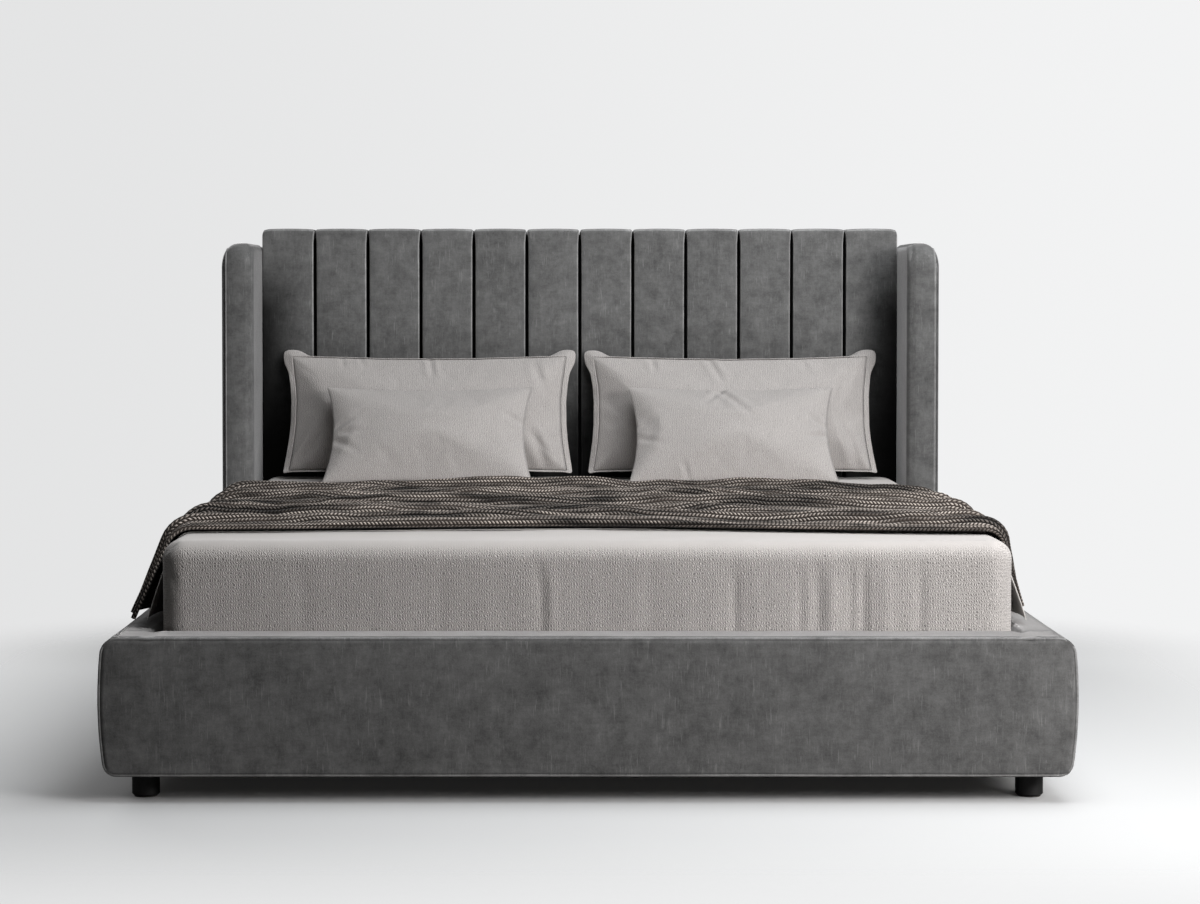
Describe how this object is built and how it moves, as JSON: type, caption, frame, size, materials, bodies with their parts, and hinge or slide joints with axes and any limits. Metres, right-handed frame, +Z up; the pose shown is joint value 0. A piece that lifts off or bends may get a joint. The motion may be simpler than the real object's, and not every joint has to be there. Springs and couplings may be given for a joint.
{
  "type": "upholstered bed",
  "caption": "Low upholstered bed with an upright channelled headboard between two thin wings, padded rails, slatted base, mattress, pillows and a folded knitted throw.",
  "frame": {"origin": "on the floor under the middle of the bed", "axes": "+Z up, +Y from the foot end to the headboard, +X to the right seen from the foot end"},
  "size_m": [2.0298, 2.246, 1.24],
  "materials": {
    "velvet": "brushed velvet",
    "velvet_piping": "brushed velvet",
    "board": "raw plywood",
    "back_cloth": "woven",
    "timber": "planed",
    "slat_ply": "satin",
    "cap_plastic": "matte",
    "steel": "satin",
    "leg_steel": "satin",
    "foot_black": "satin",
    "felt": "felt",
    "ticking": "knit",
    "fitted_cotton": "crinkled",
    "flat_cotton": "woven",
    "throw_knit": "chunky knit",
    "pillow_linen": "woven"
  },
  "bodies": {
    "frame": {"beam_hangers": "steel", "centre_beam": "timber", "centre_legs": "leg_steel", "channel_01": "velvet", "channel_02": "velvet", "channel_03": "velvet", "channel_04": "velvet", "channel_05": "velvet", "channel_06": "velvet", "channel_07": "velvet", "channel_08": "velvet", "channel_09": "velvet", "channel_10": "velvet", "channel_11": "velvet", "channel_12": "velvet", "corner_brackets": "steel", "feet_front": "foot_black", "feet_rear": "foot_black", "foot_glides": "felt", "foot_rail_core": "board", "foot_rail_pad": "velvet", "foot_rail_piping": "velvet_piping", "headboard_back_panel": "back_cloth", "headboard_board": "board", "headboard_bottom_rail": "timber", "headboard_middle_rail": "timber", "headboard_post_left": "timber", "headboard_post_right": "timber", "headboard_top_rail": "timber", "side_ledger_left": "timber", "side_ledger_right": "timber", "side_rail_core_left": "board", "side_rail_core_right": "board", "side_rail_pad_left": "velvet", "side_rail_pad_right": "velvet", "slat_caps": "cap_plastic", "slats_left": "slat_ply", "slats_right": "slat_ply", "wing_core_left": "board", "wing_core_right": "board", "wing_pad_left": "velvet", "wing_pad_right": "velvet", "wing_piping_left": "velvet_piping", "wing_piping_right": "velvet_piping"},
    "mattress": {"mattress": "ticking", "fitted_sheet": "fitted_cotton", "flat_sheet": "flat_cotton"},
    "throw": {"throw_blanket": "throw_knit"},
    "pillow_large_left": {"pillow_large_left": "pillow_linen"},
    "pillow_large_right": {"pillow_large_right": "pillow_linen"},
    "pillow_small_left": {"pillow_small_left": "pillow_linen"},
    "pillow_small_right": {"pillow_small_right": "pillow_linen"}
  },
  "joints": [
    {"name": "mattress_lift", "type": "slide", "parent": "frame", "child": "mattress", "axis": [0, 0, 1], "range_m": [0, 0.35]},
    {"name": "throw_lift", "type": "slide", "parent": "mattress", "child": "throw", "axis": [0, 0, 1], "range_m": [0, 0.3]},
    {"name": "pillow_large_left_lift", "type": "slide", "parent": "mattress", "child": "pillow_large_left", "axis": [0, -0.309, 0.9511], "range_m": [0, 0.3]},
    {"name": "pillow_small_left_lift", "type": "slide", "parent": "pillow_large_left", "child": "pillow_small_left", "axis": [0, -0.5739, 0.8189], "range_m": [0, 0.3]},
    {"name": "pillow_large_right_lift", "type": "slide", "parent": "mattress", "child": "pillow_large_right", "axis": [0, -0.309, 0.9511], "range_m": [0, 0.3]},
    {"name": "pillow_small_right_lift", "type": "slide", "parent": "pillow_large_right", "child": "pillow_small_right", "axis": [0, -0.5739, 0.8189], "range_m": [0, 0.3]}
  ]
}
